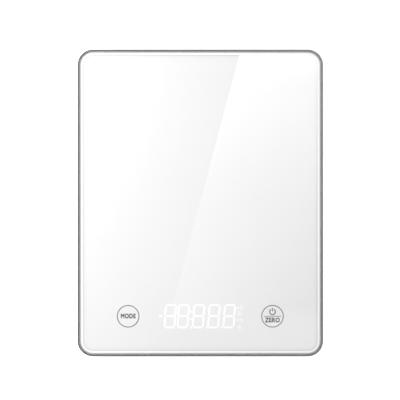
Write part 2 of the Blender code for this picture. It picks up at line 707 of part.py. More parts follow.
def foot_cup_mesh():
    """The foot's cup and its stem, with a pilot hole from above and a pad recess below."""
    stem_top, stem_radius, pilot_radius = CELL_BOTTOM - CLEARANCE, 3.2 * MM, 1.4 * MM
    top, bottom, chamfer = 6 * MM, 1 * MM, 0.5 * MM
    recess_radius, recess_top, pilot_bottom = 7.8 * MM, 2.5 * MM, 3.3 * MM
    profile = [
        (0, pilot_bottom),
        (pilot_radius, pilot_bottom),
        (pilot_radius, stem_top),
        (stem_radius, stem_top),
        (stem_radius, top),
        (FOOT_RADIUS - chamfer, top),
        (FOOT_RADIUS, top - chamfer),
        (FOOT_RADIUS, bottom + chamfer),
        (FOOT_RADIUS - chamfer, bottom),
        (recess_radius, bottom),
        (recess_radius, recess_top),
        (0, recess_top),
    ]
    return turned_mesh("foot_cup", profile)


def foot_pad_mesh():
    """A rubber disc with one ring groove underneath."""
    radius, top, groove, chamfer = 7.5 * MM, 2.2 * MM, 0.5 * MM, 0.5 * MM
    profile = [
        (0, top),
        (radius, top),
        (radius, chamfer),
        (radius - chamfer, 0),
        (5.8 * MM, 0),
        (5.4 * MM, groove),
        (4.6 * MM, groove),
        (4.2 * MM, 0),
        (0, 0),
    ]
    return turned_mesh("foot_pad", profile)


def add_corners():
    foot_screw_hole = circle(1.6 * MM)
    cell_screw_holes = [circle(CELL_HOLE_RADIUS, (0, y)) for y in CELL_SCREW_YS]
    outlines = [cell_outline(), foot_screw_hole, *cell_screw_holes]
    cell = plate_mesh("load_cell", outlines, CELL_BOTTOM, CELL_TOP)
    side, thickness = 6.4 * MM, 1.1 * MM
    coating_bottom = CELL_TOP + LAYER_GAP
    coating = rounded_rectangle(side, side, side / 4, (0, GAUGE_Y), 3)
    coating = plate_mesh("gauge_coating", [coating], coating_bottom, coating_bottom + thickness)
    cup, pad = foot_cup_mesh(), foot_pad_mesh()
    cell_screw = screw_mesh("cell_screw", 2.3 * MM, 1.4 * MM, 1 * MM, 4.8 * MM)
    foot_screw = screw_mesh("foot_screw", 2.4 * MM, 1.4 * MM, 1.1 * MM, 5.5 * MM)
    seat = CELL_TOP + CLEARANCE
    for corner, (side_x, side_y) in CORNERS.items():
        root = bpy.data.objects.new(f"corner_{corner}", None)
        root.location = (side_x * FOOT_X, side_y * FOOT_Y, 0)
        root.rotation_euler.z = 0 if side_y > 0 else math.pi
        PARTS.objects.link(root)
        place(f"load_cell_{corner}", cell, CELL_STEEL, parent=root)
        place(f"gauge_coating_{corner}", coating, SEALANT, parent=root)
        for label, screw_y in zip(("inner", "outer"), reversed(CELL_SCREW_YS)):
            name = f"cell_screw_{label}_{corner}"
            shade(place(name, cell_screw, SCREW_STEEL, (0, screw_y, seat), parent=root))
        shade(place(f"foot_cup_{corner}", cup, WHITE_PLASTIC, parent=root))
        shade(place(f"foot_pad_{corner}", pad, GREY_RUBBER, parent=root))
        shade(place(f"foot_screw_{corner}", foot_screw, SCREW_STEEL, (0, 0, seat), parent=root))


def add_case_screws():
    mesh = screw_mesh("case_screw", 2.4 * MM, 1.2 * MM, 1.1 * MM, 7 * MM)
    for name, (x, y) in CASE_SCREWS.items():
        seat = (x, y, CASE_SCREW_SEAT - CLEARANCE)
        shade(place(f"case_screw_{name}", mesh, SCREW_STEEL, seat, flip=True))


# Wires, held inside the case all the way


def add_cell_cables():
    """A cable from each gauge to the rear edge of the board. The rear two run past the batteries."""
    gauge_x, gauge_y, gauge_z = FOOT_X - 3.6 * MM, FOOT_Y + GAUGE_Y, CELL_TOP + 0.9 * MM
    radius = 0.8 * MM
    landing_z = BOARD_TOP + CLEARANCE + radius
    lane_x, lane_z = 40 * MM, 11 * MM
    rear_route = [
        (gauge_x, gauge_y, gauge_z),
        (gauge_x - 8 * MM, gauge_y - 0.5 * MM, lane_z),
        (lane_x, gauge_y - 14 * MM, lane_z),
        (lane_x, BATTERY_Y + 10 * MM, lane_z),
        (lane_x, BATTERY_Y - 40 * MM, lane_z),
        (lane_x - 3 * MM, LANDING_Y + 9 * MM, lane_z),
        (lane_x - 5 * MM, LANDING_Y, landing_z),
    ]
    front_route = [
        (gauge_x, -gauge_y, gauge_z),
        (gauge_x - 3.4 * MM, 1.5 * MM - gauge_y, lane_z),
        (gauge_x - 6 * MM, LANDING_Y - 4 * MM, lane_z),
        (gauge_x - 9 * MM, LANDING_Y, landing_z),
        (gauge_x - 13 * MM, LANDING_Y + 0.4 * MM, landing_z),
    ]
    for corner, (side_x, side_y) in CORNERS.items():
        route = [(side_x * x, y, z) for x, y, z in (rear_route if side_y > 0 else front_route)]
        points = smooth_route(route, 5 * radius)
        add_wire(f"cell_cable_{corner}", points, radius, GREY_WIRE, resolution=2)


def add_battery_wires():
    """The two wires from the contacts' solder tabs to the rear edge of the board."""
    radius = 0.6 * MM
    start_x = TAB_END_X + CLEARANCE
    landing_z = BOARD_TOP + CLEARANCE + radius
    lane_z = 10.5 * MM
    lanes = (("positive", RED_WIRE, 1, 36 * MM), ("negative", BLACK_WIRE, -1, 33.5 * MM))
    for name, material, side, lane in lanes:
        start_y = BATTERY_Y + side * BATTERY_PITCH / 2
        end_x = lane - 11 * MM
        route = [
            (start_x, start_y, TAB_Z),
            (start_x + 2.5 * MM, start_y - 0.8 * MM, TAB_Z - 0.3 * MM),
            (lane - 0.6 * MM, start_y - 4 * MM, TAB_Z - 1.2 * MM),
            (lane, start_y - 12 * MM, lane_z),
            (lane, BATTERY_Y - 40 * MM, lane_z),
            (end_x + 4 * MM, LANDING_Y + 9 * MM, landing_z + 0.5 * MM),
            (end_x, LANDING_Y, landing_z),
        ]
        add_wire(f"battery_wire_{name}", smooth_route(route, 7 * radius), radius, material)


add_glass()
add_back_print()
add_tape()
add_frame()
add_cover()
add_door()
add_batteries()
add_board()
add_corners()
add_case_screws()
add_cell_cables()
add_battery_wires()
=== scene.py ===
import json
import math

import bmesh
import bpy
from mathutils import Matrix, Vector


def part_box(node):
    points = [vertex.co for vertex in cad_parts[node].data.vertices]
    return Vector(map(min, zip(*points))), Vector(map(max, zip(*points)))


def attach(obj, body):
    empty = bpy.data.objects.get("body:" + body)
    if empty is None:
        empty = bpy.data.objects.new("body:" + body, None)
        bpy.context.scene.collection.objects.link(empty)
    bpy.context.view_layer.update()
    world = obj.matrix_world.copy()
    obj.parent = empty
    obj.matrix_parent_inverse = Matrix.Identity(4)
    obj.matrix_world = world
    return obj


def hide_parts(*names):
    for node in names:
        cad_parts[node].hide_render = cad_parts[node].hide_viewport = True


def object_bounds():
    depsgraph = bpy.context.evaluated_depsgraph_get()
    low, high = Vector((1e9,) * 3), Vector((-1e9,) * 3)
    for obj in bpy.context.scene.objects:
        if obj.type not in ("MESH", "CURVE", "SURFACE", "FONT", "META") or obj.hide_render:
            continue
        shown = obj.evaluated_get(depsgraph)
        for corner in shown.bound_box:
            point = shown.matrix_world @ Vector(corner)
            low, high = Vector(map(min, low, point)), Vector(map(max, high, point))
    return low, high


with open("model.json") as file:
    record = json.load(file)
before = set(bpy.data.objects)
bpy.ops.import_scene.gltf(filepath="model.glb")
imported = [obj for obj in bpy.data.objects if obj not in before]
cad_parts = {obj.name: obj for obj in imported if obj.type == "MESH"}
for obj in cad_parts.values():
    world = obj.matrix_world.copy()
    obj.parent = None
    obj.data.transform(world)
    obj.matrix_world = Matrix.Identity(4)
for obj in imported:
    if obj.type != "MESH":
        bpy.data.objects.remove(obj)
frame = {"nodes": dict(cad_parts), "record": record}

cad_low, cad_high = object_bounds()

MM = 0.001
NODES = frame["nodes"]
GLASS_LOW, GLASS_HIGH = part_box("glass_plate")
PRINT_LOW, PRINT_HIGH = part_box("glass_back_print")
SPRING_BOXES = [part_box(f"touch_spring_{side}") for side in ("left", "right")]
LEFT_KEY, RIGHT_KEY = [((low + high) / 2).to_2d() for low, high in SPRING_BOXES]
DISPLAY_Y = LEFT_KEY.y

# The enamel is fused into the back of the glass, with the marks on it
ENAMEL_BOTTOM = GLASS_LOW.z - 0.05 * MM
ENAMEL_TOP = GLASS_LOW.z + 0.02 * MM
MARK_BOTTOM = ENAMEL_TOP + 0.01 * MM
MARK_TOP = ENAMEL_TOP + 0.04 * MM
GLASS_RIM_RADIUS = 2.5 * MM
GLASS_CORNER_RADIUS = 8.9 * MM
GLASS_BOTTOM_EASE = 0.3 * MM

# Near its edge the print carries painted light for the glass rim: a painted dark shade, a painted
# highlight band, then a thin painted shade line that fades inwards; as stops of (share of the
# width, tone)
PRINT_CORNER_RADIUS = 8.5 * MM
PAINTED_RIM_WIDTH = 8 * MM
PAINTED_RIM_STOPS = [
    (0.0, 0.95),
    (0.112, 0.9),
    (0.12, 0.16),
    (0.147, 0.2),
    (0.156, 0.38),
    (0.18, 0.8),
    (0.205, 1.0),
    (0.255, 1.0),
    (0.275, 0.68),
    (0.335, 0.68),
    (0.38, 0.81),
    (0.65, 0.84),
]

# The printed keys
KEY_RING_RADIUS = 7.3 * MM
KEY_RING_STROKE = 0.55 * MM
LABEL_WEIGHT = 0.17 * MM
DIVIDER_REACH = Vector((5.6 * MM, 0.2 * MM))
ZERO_LABEL_OFFSET = Vector((0, -2.6 * MM))
POWER_MARK_OFFSET = Vector((0, 2.9 * MM))

# The lit display
DIGIT_WIDTH, DIGIT_HEIGHT, STROKE = 7.8 * MM, 15.8 * MM, 1.25 * MM
DIGIT_LEAN = math.tan(math.radians(4.5))
DIGIT_CENTERS = [x * MM for x in (-19.6, -11.1, -1.1, 8.9, 18.9)]
SEGMENT_GAP = 0.2 * MM
DOT_RADIUS = 0.65 * MM
MINUS_SPAN = (-27.2 * MM, -24.4 * MM)
COLON_X, COLON_HEIGHTS = -6.1 * MM, (3 * MM, -2 * MM)
POINT_XS, POINT_Y = (-5.5, 4.6, 14.4), -DIGIT_HEIGHT / 2 + 0.6 * MM
UNITS = ("ml", "lb", "oz", "g")
UNIT_X, UNIT_TOP, UNIT_PITCH = 25.5 * MM, 5.5, 3.9
UNIT_SIZE, UNIT_WEIGHT, UNIT_SHEAR = 4.0 * MM, 0.14 * MM, 0.08

# The camera looks straight down on the middle of the scale
CAMERA_HEIGHT = 1.5
VIEW_WIDTH = 260 * MM
VIEW_MIDDLE = Vector((-0.2 * MM, 1.9 * MM))

# Light
WORLD_STRENGTH = 0.63
BACKGROUND_STRENGTH = 1.1
KEY_PLACE = (-0.35, 0.14, 0.3)
KEY_SIZE = (0.4, 0.4)
KEY_POWER = 2.4

# The floor lies just below the feet, and its glow fades out under the scale as a painted contact
# shadow
FLOOR_RADIUS = 12
FLOOR_HEIGHT = -0.03 * MM
FLOOR_GLOW, FLOOR_PAINTED_SHADOW_GLOW = 0.6, 0.04
FLOOR_SHADOW_FADE = 16 * MM
FLOOR_SHADOW_CORNER = 10 * MM

# A dark wall at the horizon
HORIZON_RADIUS, HORIZON_LOW, HORIZON_HIGH, HORIZON_SIDES = 1.2, 0.001, 0.3, 48
HORIZON_GLOW = 0.3

# The card above the camera, by the places on the glass that mirror its parts
CARD_HEIGHT = 2.1
CARD_REACH = 1 + (CARD_HEIGHT - cad_high.z) / (CAMERA_HEIGHT - cad_high.z)
CARD_NEAR, CARD_FAR, CARD_RIGHT = -0.12, 0.2, 0.2
HIGHLIGHT_TOP = Vector((25.3, 96.1)) * MM
HIGHLIGHT_BOTTOM = Vector((-16.5, -60.8)) * MM

# What the card's strength gains between two places: (start, end, gain at the end)
CARD_BASE = (-0.078, -0.066, 0.75)
CARD_GAINS = [
    (-0.066, 0.0, 0.3),
    (0.0, 0.096, 1.6),
    (0.08, 0.094, 1.7),
]

# Towards the card's right the strength falls in front and grows behind, except at its front edge
CARD_RIGHT_SPAN, CARD_RIGHT_GAIN = (-0.01, 0.076), 1.3
CARD_TILT_REACH = 0.096
CARD_FRONT_GAIN = 1.6


# Nodes of materials


class Shade:
    """A Principled material, with helpers that add the nodes of its pattern."""

    def __init__(self, name, color=(0.8, 0.8, 0.8), roughness=0.5, metallic=0.0, **sockets):
        self.material = bpy.data.materials.new(name)
        self.material.use_nodes = True
        self.tree = self.material.node_tree
        self.shader = self.tree.nodes["Principled BSDF"]
        self.set(self.shader, "Base Color", (*color, 1))
        self.set(self.shader, "Roughness", roughness)
        self.set(self.shader, "Metallic", metallic)
        for socket, value in sockets.items():
            self.set(self.shader, socket.replace("_", " ").title().replace("Ior", "IOR"), value)

    def set(self, node, socket, value):
        """Sets an input to a value, or links it to another node's output."""
        target = node.inputs[socket]
        if isinstance(value, bpy.types.NodeSocket):
            self.tree.links.new(value, target)
        else:
            target.default_value = value

    def node(self, kind, **inputs):
        node = self.tree.nodes.new(f"ShaderNode{kind}")
        for socket, value in inputs.items():
            self.set(node, socket.replace("_", " "), value)
        return node

    def place(self, scale=(1, 1, 1)):
        """The object's own coordinates, in metres, scaled."""
        mapping = self.node("Mapping", Scale=scale)
        self.set(mapping, "Vector", self.node("TexCoord").outputs["Object"])
        return mapping.outputs["Vector"]

    def noise(self, scale, detail=3, roughness=0.5, stretch=(1, 1, 1)):
        place = self.place(stretch)
        node = self.node("TexNoise", Vector=place, Scale=scale, Detail=detail, Roughness=roughness)
        return node.outputs["Fac"]

    def cells(self, scale):
        return self.node("TexVoronoi", Vector=self.place(), Scale=scale).outputs["Distance"]

    def ramp(self, value, stops):
        """A value turned into colours or greys by stops of (position, colour or grey)."""
        node = self.node("ValToRGB", Fac=value)
        elements = node.color_ramp.elements
        while len(elements) < len(stops):
            elements.new(0.5)
        for element, (position, color) in zip(elements, stops):
            element.position = position
            element.color = (*color, 1) if isinstance(color, tuple) else (color, color, color, 1)
        return node.outputs["Color"]

    def span(self, value, low, high):
        """A 0 to 1 pattern spread over a range of values."""
        node = self.node("MapRange", Value=value)
        self.set(node, "To Min", low)
        self.set(node, "To Max", high)
        return node.outputs["Result"]

    def math(self, operation, a, b=0.0):
        node = self.tree.nodes.new("ShaderNodeMath")
        node.operation = operation
        self.set(node, 0, a)
        self.set(node, 1, b)
        return node.outputs["Value"]

    def blend(self, factor, a, b):
        node = self.tree.nodes.new("ShaderNodeMix")
        node.data_type = "RGBA"
        self.set(node, "Factor", factor)
        for socket, value in (("A", a), ("B", b)):
            target = next(i for i in node.inputs if i.name == socket and i.type == "RGBA")
            if isinstance(value, bpy.types.NodeSocket):
                self.tree.links.new(value, target)
            else:
                target.default_value = (*value, 1)
        return next(o for o in node.outputs if o.type == "RGBA")

    def multiply(self, a, b):
        node = self.tree.nodes.new("ShaderNodeVectorMath")
        node.operation = "MULTIPLY"
        self.set(node, 0, a)
        self.set(node, 1, b)
        return node.outputs["Vector"]

    def distance_inside(self, corner, radius=PRINT_CORNER_RADIUS):
        """Metres inwards from the outline of a round-cornered rectangle, given its far corner."""
        x, y = [
            self.math("SUBTRACT", self.math("ABSOLUTE", self.axis(name)), reach - radius)
            for name, reach in (("X", corner.x), ("Y", corner.y))
        ]
        past_x, past_y = [self.math("MAXIMUM", value, 0.0) for value in (x, y)]
        squares = [self.math("MULTIPLY", value, value) for value in (past_x, past_y)]
        past = self.math("SQRT", self.math("ADD", *squares))
        short = self.math("MINIMUM", self.math("MAXIMUM", x, y), 0.0)
        return self.math("SUBTRACT", radius, self.math("ADD", past, short))

    def axis(self, name):
        """One of the object's own coordinates, in metres."""
        split = self.node("SeparateXYZ", Vector=self.node("TexCoord").outputs["Object"])
        return split.outputs[name]

    def bump(self, height, strength, distance):
        node = self.node("Bump", Height=height, Strength=strength, Distance=distance)
        self.set(self.shader, "Normal", node.outputs["Normal"])

    def finish(self, color=None, roughness=None):
        if color is not None:
            self.set(self.shader, "Base Color", color)
        if roughness is not None:
            self.set(self.shader, "Roughness", roughness)
        return self.material


# Materials


def glass_material():
    """Clear low-iron glass with faint finger smears, that lets lamps light the print behind it."""
    shade = Shade("clear_glass", (0.985, 0.99, 0.988), 0.0, transmission_weight=1.0, ior=1.5)
    smear = shade.noise(28, detail=4, roughness=0.6, stretch=(1, 2.2, 1))
    shade.finish(roughness=shade.span(smear, 0.0, 0.012))
    path = shade.node("LightPath")
    straight = shade.math("MAXIMUM", path.outputs["Is Shadow Ray"], path.outputs["Is Diffuse Ray"])
    clear = shade.node("BsdfTransparent", Color=(0.98, 0.982, 0.981, 1))
    mix = shade.node("MixShader", Fac=straight)
    shade.tree.links.new(shade.shader.outputs["BSDF"], mix.inputs[1])
    shade.tree.links.new(clear.outputs["BSDF"], mix.inputs[2])
    surface = shade.tree.nodes["Material Output"].inputs["Surface"]
    shade.tree.links.new(mix.outputs["Shader"], surface)
    return shade.material


def print_material():
    """White ceramic print with the fine unevenness of a screen-printed coat, and painted rim light
    at its edge: painted shade, a painted highlight band and a painted shade line.
    """
    shade = Shade("white_print", (0.95, 0.95, 0.95), 0.4)
    coat = shade.noise(900)
    cloud = shade.noise(14, detail=2)
    halves = [shade.math("MULTIPLY", pattern, 0.5) for pattern in (coat, cloud)]
    mixed = shade.math("ADD", *halves)
    shade.bump(coat, 0.15, 0.02 * MM)
    white = shade.ramp(mixed, [(0.3, 0.94), (0.7, 0.96)])
    # Painted rim light: a painted dark shade at the edge, a painted highlight band and a thin
    # painted shade line
    inwards = shade.math("MULTIPLY", shade.distance_inside(PRINT_HIGH), 1 / PAINTED_RIM_WIDTH)
    painted_rim = shade.ramp(inwards, PAINTED_RIM_STOPS)
    color = shade.multiply(white, painted_rim)
    return shade.finish(color, shade.span(coat, 0.34, 0.46))


def ink_material(name, grey):
    """A thin printed ink, slightly patchy where the screen's mesh showed."""
    shade = Shade(name, (grey, grey, grey), 0.5)
    patch = shade.noise(2600, detail=2)
    tone = shade.ramp(patch, [(0.3, (grey * 0.88,) * 3), (0.7, (grey * 1.12,) * 3)])
    return shade.finish(tone, shade.span(patch, 0.42, 0.58))


def lit_material(name, tone, glow):
    """A lit mark: a grainy white diffuser with a weak glow."""
    shade = Shade(name, (tone,) * 3, 0.5, emission_color=(1, 1, 1, 1), emission_strength=glow)
    grain = shade.noise(1800, detail=2)
    color = shade.ramp(grain, [(0.3, tone * 0.96), (0.7, tone * 1.04)])
    return shade.finish(color, shade.span(grain, 0.45, 0.6))


def frame_material():
    """Silver-grey paint: metal flakes under a satin coat, and a moulded surface's slight waves."""
    coat = {"coat_weight": 0.3, "coat_roughness": 0.2}
    shade = Shade("silver_paint", (0.2, 0.2, 0.205), 0.34, 0.75, **coat)
    flakes = shade.cells(5200)
    waves = shade.noise(60)
    color = shade.ramp(flakes, [(0.1, (0.17, 0.17, 0.175)), (0.75, (0.25, 0.25, 0.255))])
    height = shade.math("ADD", shade.math("MULTIPLY", flakes, 0.2), waves)
    shade.bump(height, 0.12, 0.05 * MM)
    return shade.finish(color, shade.span(flakes, 0.28, 0.42))


def plastic_material():
    """White moulded plastic with a spark-eroded texture and faint flow marks."""
    shade = Shade("white_plastic", (0.82, 0.82, 0.81), 0.45)
    grain = shade.noise(2300, roughness=0.6)
    flow = shade.noise(22, stretch=(1, 0.3, 1))
    color = shade.ramp(flow, [(0.3, (0.79, 0.79, 0.78)), (0.7, (0.84, 0.84, 0.83))])
    shade.bump(grain, 0.3, 0.04 * MM)
    return shade.finish(color, shade.span(grain, 0.38, 0.58))


def rubber_material():
    """Matt silicone with dust in its pores and a few scuffs."""
    shade = Shade("grey_rubber", (0.25, 0.25, 0.26), 0.8, sheen_weight=0.2)
    pores = shade.noise(3400, detail=4, roughness=0.7)
    streaks = shade.noise(240, detail=4, stretch=(1, 4, 1))
    scuffs = shade.ramp(streaks, [(0.56, 0.0), (0.68, 1.0)])
    color = shade.blend(scuffs, (0.23, 0.23, 0.24), (0.31, 0.31, 0.31))
    shade.bump(pores, 0.4, 0.05 * MM)
    return shade.finish(color, shade.span(pores, 0.7, 0.92))


def steel_material(name, tone, roughness, stretch):
    """Bare metal with fine lines along its working direction."""
    shade = Shade(name, tone, roughness, 1.0)
    lines = shade.noise(500, detail=5, roughness=0.65, stretch=stretch)
    dark = tuple(c * 0.82 for c in tone)
    shade.bump(lines, 0.12, 0.02 * MM)
    color = shade.ramp(lines, [(0.3, dark), (0.7, tone)])
    return shade.finish(color, shade.span(lines, roughness * 0.7, roughness * 1.4))


def board_material():
    """Green solder mask over copper tracks, with the weave of the glass cloth just showing."""
    shade = Shade("board_green", (0.01, 0.13, 0.06), 0.3, coat_weight=0.4, coat_roughness=0.15)
    brick_place, weave_place = [shade.place((scale,) * 3) for scale in (260, 2400)]
    brick = shade.node("TexBrick", Vector=brick_place, Scale=1.0, Mortar_Size=0.06)
    tracks = brick.outputs["Fac"]
    weave = shade.node("TexChecker", Vector=weave_place, Scale=1.0).outputs["Fac"]
    faint_weave = shade.math("MULTIPLY", weave, 0.25)
    mask = shade.blend(faint_weave, (0.008, 0.12, 0.055), (0.02, 0.17, 0.08))
    color = shade.blend(shade.math("MULTIPLY", tracks, 0.7), mask, (0.05, 0.27, 0.12))
    shade.bump(tracks, 0.5, 0.04 * MM)
    return shade.finish(color, shade.span(weave, 0.28, 0.36))


def epoxy_material():
    """A black chip package, with a fine grain."""
    shade = Shade("chip_black", (0.02, 0.02, 0.022), 0.55)
    grain = shade.noise(4000, roughness=0.7)
    shade.bump(grain, 0.4, 0.03 * MM)
    color = shade.ramp(grain, [(0.3, 0.016), (0.7, 0.032)])
    return shade.finish(color, shade.span(grain, 0.45, 0.7))


def light_box_material():
    """The display's white reflector housing."""
    shade = Shade("display_white", (0.8, 0.8, 0.8), 0.4)
    grain = shade.noise(1500)
    shade.bump(grain, 0.2, 0.03 * MM)
    color = shade.ramp(grain, [(0.3, 0.76), (0.7, 0.84)])
    return shade.finish(color, shade.span(grain, 0.34, 0.5))


def battery_material():
    """A printed sleeve that gets lighter towards both ends, where a steel can shows."""
    shade = Shade("battery_sleeve", (0.05, 0.12, 0.3), 0.25, coat_weight=0.5, coat_roughness=0.08)
    end_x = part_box("battery_rear")[1].x
    along = shade.math("MULTIPLY", shade.math("ABSOLUTE", shade.axis("X")), 1 / end_x)
    scratches = shade.noise(700, detail=4, stretch=(0.2, 3, 3))
    sleeve = shade.ramp(along, [(0.0, (0.03, 0.09, 0.26)), (0.84, (0.62, 0.63, 0.65))])
    color = shade.blend(shade.math("MULTIPLY", scratches, 0.2), sleeve, (0.3, 0.33, 0.4))
    metal = shade.ramp(along, [(0.9, 0.0), (0.93, 1.0)])
    shade.set(shade.shader, "Metallic", metal)
    return shade.finish(color, shade.span(scratches, 0.18, 0.36))


def tape_material():
    """Closed-cell foam tape."""
    shade = Shade("tape_grey", (0.45, 0.45, 0.45), 0.9)
    foam = shade.cells(2600)
    shade.bump(foam, 0.5, 0.08 * MM)
    color = shade.ramp(foam, [(0.1, 0.36), (0.8, 0.52)])
    return shade.finish(color, shade.span(foam, 0.8, 0.95))


def sealant_material():
    """Milky sealant that has set with soft ripples."""
    shade = Shade("sealant", (0.82, 0.8, 0.74), 0.35, subsurface_weight=0.15)
    ripple = shade.noise(420, detail=2)
    shade.bump(ripple, 0.5, 0.2 * MM)
    color = shade.ramp(ripple, [(0.3, (0.76, 0.73, 0.66)), (0.7, (0.86, 0.84, 0.79))])
    return shade.finish(color, shade.span(ripple, 0.28, 0.45))


def wire_material(name, tone):
    """A lead's soft insulation, with faint streaks from its extrusion."""
    shade = Shade(name, tone, 0.45)
    streaks = shade.noise(900, stretch=(1, 0.1, 1))
    dark, light = [tuple(c * share for c in tone) for share in (0.8, 1.15)]
    color = shade.ramp(streaks, [(0.3, dark), (0.7, light)])
    shade.bump(streaks, 0.15, 0.04 * MM)
    return shade.finish(color, shade.span(streaks, 0.36, 0.56))


MATERIALS = {
    "clear_glass": glass_material(),
    "white_print": print_material(),
    "silver_paint": frame_material(),
    "white_plastic": plastic_material(),
    "grey_rubber": rubber_material(),
    "cell_steel": steel_material("cell_steel", (0.58, 0.58, 0.6), 0.32, (6, 0.4, 6)),
    "screw_steel": steel_material("screw_steel", (0.5, 0.5, 0.51), 0.28, (3, 3, 0.5)),
    "nickel": steel_material("nickel", (0.7, 0.67, 0.61), 0.2, (1, 4, 4)),
    "board_green": board_material(),
    "chip_black": epoxy_material(),
    "display_white": light_box_material(),
    "battery_sleeve": battery_material(),
    "tape_grey": tape_material(),
    "sealant": sealant_material(),
    "red_wire": wire_material("red_wire", (0.5, 0.03, 0.02)),
    "black_wire": wire_material("black_wire", (0.03, 0.03, 0.03)),
    "grey_wire": wire_material("grey_wire", (0.4, 0.4, 0.42)),
}
INK = ink_material("key_ink", 0.12)
LABEL_INK = ink_material("label_ink", 0.05)
LIT = lit_material("lit_segment", 0.94, 0.06)
DIM = lit_material("dim_mark", 0.9, 0.03)


def dress_cad_nodes():
    """Gives each CAD node the material of its slot."""
    for row in frame["record"]["subparts"]:
        mesh = NODES[row["node"]].data
        mesh.materials.clear()
        mesh.materials.append(MATERIALS[row["material_slot"]])


# Shapes


def arc(center, radius, start, end, steps):
    """Points on an arc, angles in degrees."""
    x, y = center
    angles = [math.radians(start + (end - start) * i / steps) for i in range(steps + 1)]
    return [Vector((x + radius * math.cos(a), y + radius * math.sin(a))) for a in angles]


def rounded_rectangle(width, length, radius, steps=16):
    """The outline of a rectangle with round corners about the origin, counterclockwise."""
    x, y = width / 2 - radius, length / 2 - radius
    outline = []
    for start, (side_x, side_y) in zip((0, 90, 180, 270), ((1, 1), (-1, 1), (-1, -1), (1, -1))):
        outline += arc((side_x * x, side_y * y), radius, start, start + 90, steps)
    return outline


def add_piece(name, mesh, material, body="housing"):
    obj = bpy.data.objects.new(name, mesh)
    mesh.materials.append(material)
    bpy.context.scene.collection.objects.link(obj)
    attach(obj, body)
    return obj


def mesh_from(bm, name):
    bmesh.ops.recalc_face_normals(bm, faces=bm.faces)
    mesh = bpy.data.meshes.new(name)
    bm.to_mesh(mesh)
    bm.free()
    return mesh


def stacked_mesh(name, rings):
    """A solid through a stack of rings, closed at each end. A ring is (outline, height)."""
    bm = bmesh.new()
    levels = [[bm.verts.new((*point, z)) for point in outline] for outline, z in rings]
    count = len(levels[0])
    for lower, upper in zip(levels, levels[1:]):
        for i in range(count):
            j = (i + 1) % count
            bm.faces.new((lower[i], lower[j], upper[j], upper[i]))
    bm.faces.new(list(reversed(levels[0])))
    bm.faces.new(levels[-1])
    return mesh_from(bm, name)


def plate_mesh(name, outlines, bottom=MARK_BOTTOM, top=MARK_TOP):
    """A thin plate with any number of outlines. An outline inside another is a hole in it."""
    curve = bpy.data.curves.new(name, "CURVE")
    curve.dimensions = "2D"
    curve.fill_mode = "BOTH"
    curve.extrude = (top - bottom) / 2
    for outline in outlines:
        spline = curve.splines.new("POLY")
        spline.points.add(len(outline) - 1)
        spline.use_cyclic_u = True
        for point, (x, y) in zip(spline.points, outline):
            point.co = (x, y, 0, 1)
    return filled_mesh(name, curve, (0, 0, (bottom + top) / 2))


def filled_mesh(name, curve, location, scale=(1, 1, 1)):
    """The welded mesh of a filled curve or of lettering, moved to its place."""
    shape = bpy.data.objects.new(name, curve)
    shape.location = location
    shape.scale = scale
    bpy.context.scene.collection.objects.link(shape)
    bpy.context.view_layer.update()
    evaluated = shape.evaluated_get(bpy.context.evaluated_depsgraph_get())
    mesh = bpy.data.meshes.new_from_object(evaluated)
    mesh.transform(shape.matrix_world)
    bpy.data.objects.remove(shape)
    bm = bmesh.new()
    bm.from_mesh(mesh)
    bmesh.ops.remove_doubles(bm, verts=bm.verts, dist=1e-7)
    bpy.data.meshes.remove(mesh)
    return mesh_from(bm, name)


# The glass


def add_glass():
    """The toughened glass, with a ground rim that rolls from its top to its side."""
    width, length = GLASS_HIGH.x - GLASS_LOW.x, GLASS_HIGH.y - GLASS_LOW.y
    steps, corner_steps = 16, 20

    def outline(inset):
        radius = GLASS_CORNER_RADIUS - inset
        return rounded_rectangle(width - 2 * inset, length - 2 * inset, radius, corner_steps)

    rings = [
        (outline(GLASS_BOTTOM_EASE), GLASS_LOW.z),
        (outline(0), GLASS_LOW.z + GLASS_BOTTOM_EASE),
    ]
    for i in range(steps + 1):
        angle = math.pi / 2 * i / steps
        inset = GLASS_RIM_RADIUS * (1 - math.cos(angle))
        height = GLASS_HIGH.z - GLASS_RIM_RADIUS * (1 - math.sin(angle))
        rings.append((outline(inset), height))
    # A narrow flat ring keeps the smooth shading of the rim out of the top's reflections
    rings.append((outline(GLASS_RIM_RADIUS + 0.05 * MM), GLASS_HIGH.z))
    mesh = stacked_mesh("glass", rings)
    mesh.shade_smooth()
    mesh.set_sharp_from_angle(angle=math.radians(30))
    glass = add_piece("glass", mesh, MATERIALS["clear_glass"])
    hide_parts("glass_plate")


def add_enamel():
    """The top coat of the white print, which touches the glass, so it shows through the rim too."""
    width, length = PRINT_HIGH.x - PRINT_LOW.x, PRINT_HIGH.y - PRINT_LOW.y
    outline = rounded_rectangle(width, length, PRINT_CORNER_RADIUS)
    mesh = plate_mesh("enamel", [outline], ENAMEL_BOTTOM, ENAMEL_TOP)
    add_piece("enamel", mesh, MATERIALS["white_print"])


# Marks on the back of the glass


def text_mesh(name, text, center, size, weight, narrow=1.0, shear=0.0):
    """Flat lettering centred on a point. The weight is what each stroke gains on either side."""
    curve = bpy.data.curves.new(name, "FONT")
    curve.body = text
    curve.align_x, curve.align_y = "CENTER", "CENTER"
    curve.size = size
    curve.shear = shear
    curve.space_character = 1.12
    curve.bevel_depth = weight
    curve.bevel_resolution = 1
    curve.resolution_u = 6
    flatten = (MARK_TOP - MARK_BOTTOM) / (2 * weight)
    scale = (narrow, 1, flatten)
    return filled_mesh(name, curve, (*center, (MARK_TOP + MARK_BOTTOM) / 2), scale)


def box_outline(low, high, center):
    """An upright rectangle between two corners, which are measured from a centre."""
    corners = (low, (high[0], low[1]), high, (low[0], high[1]))
    return [Vector(corner) + center for corner in corners]


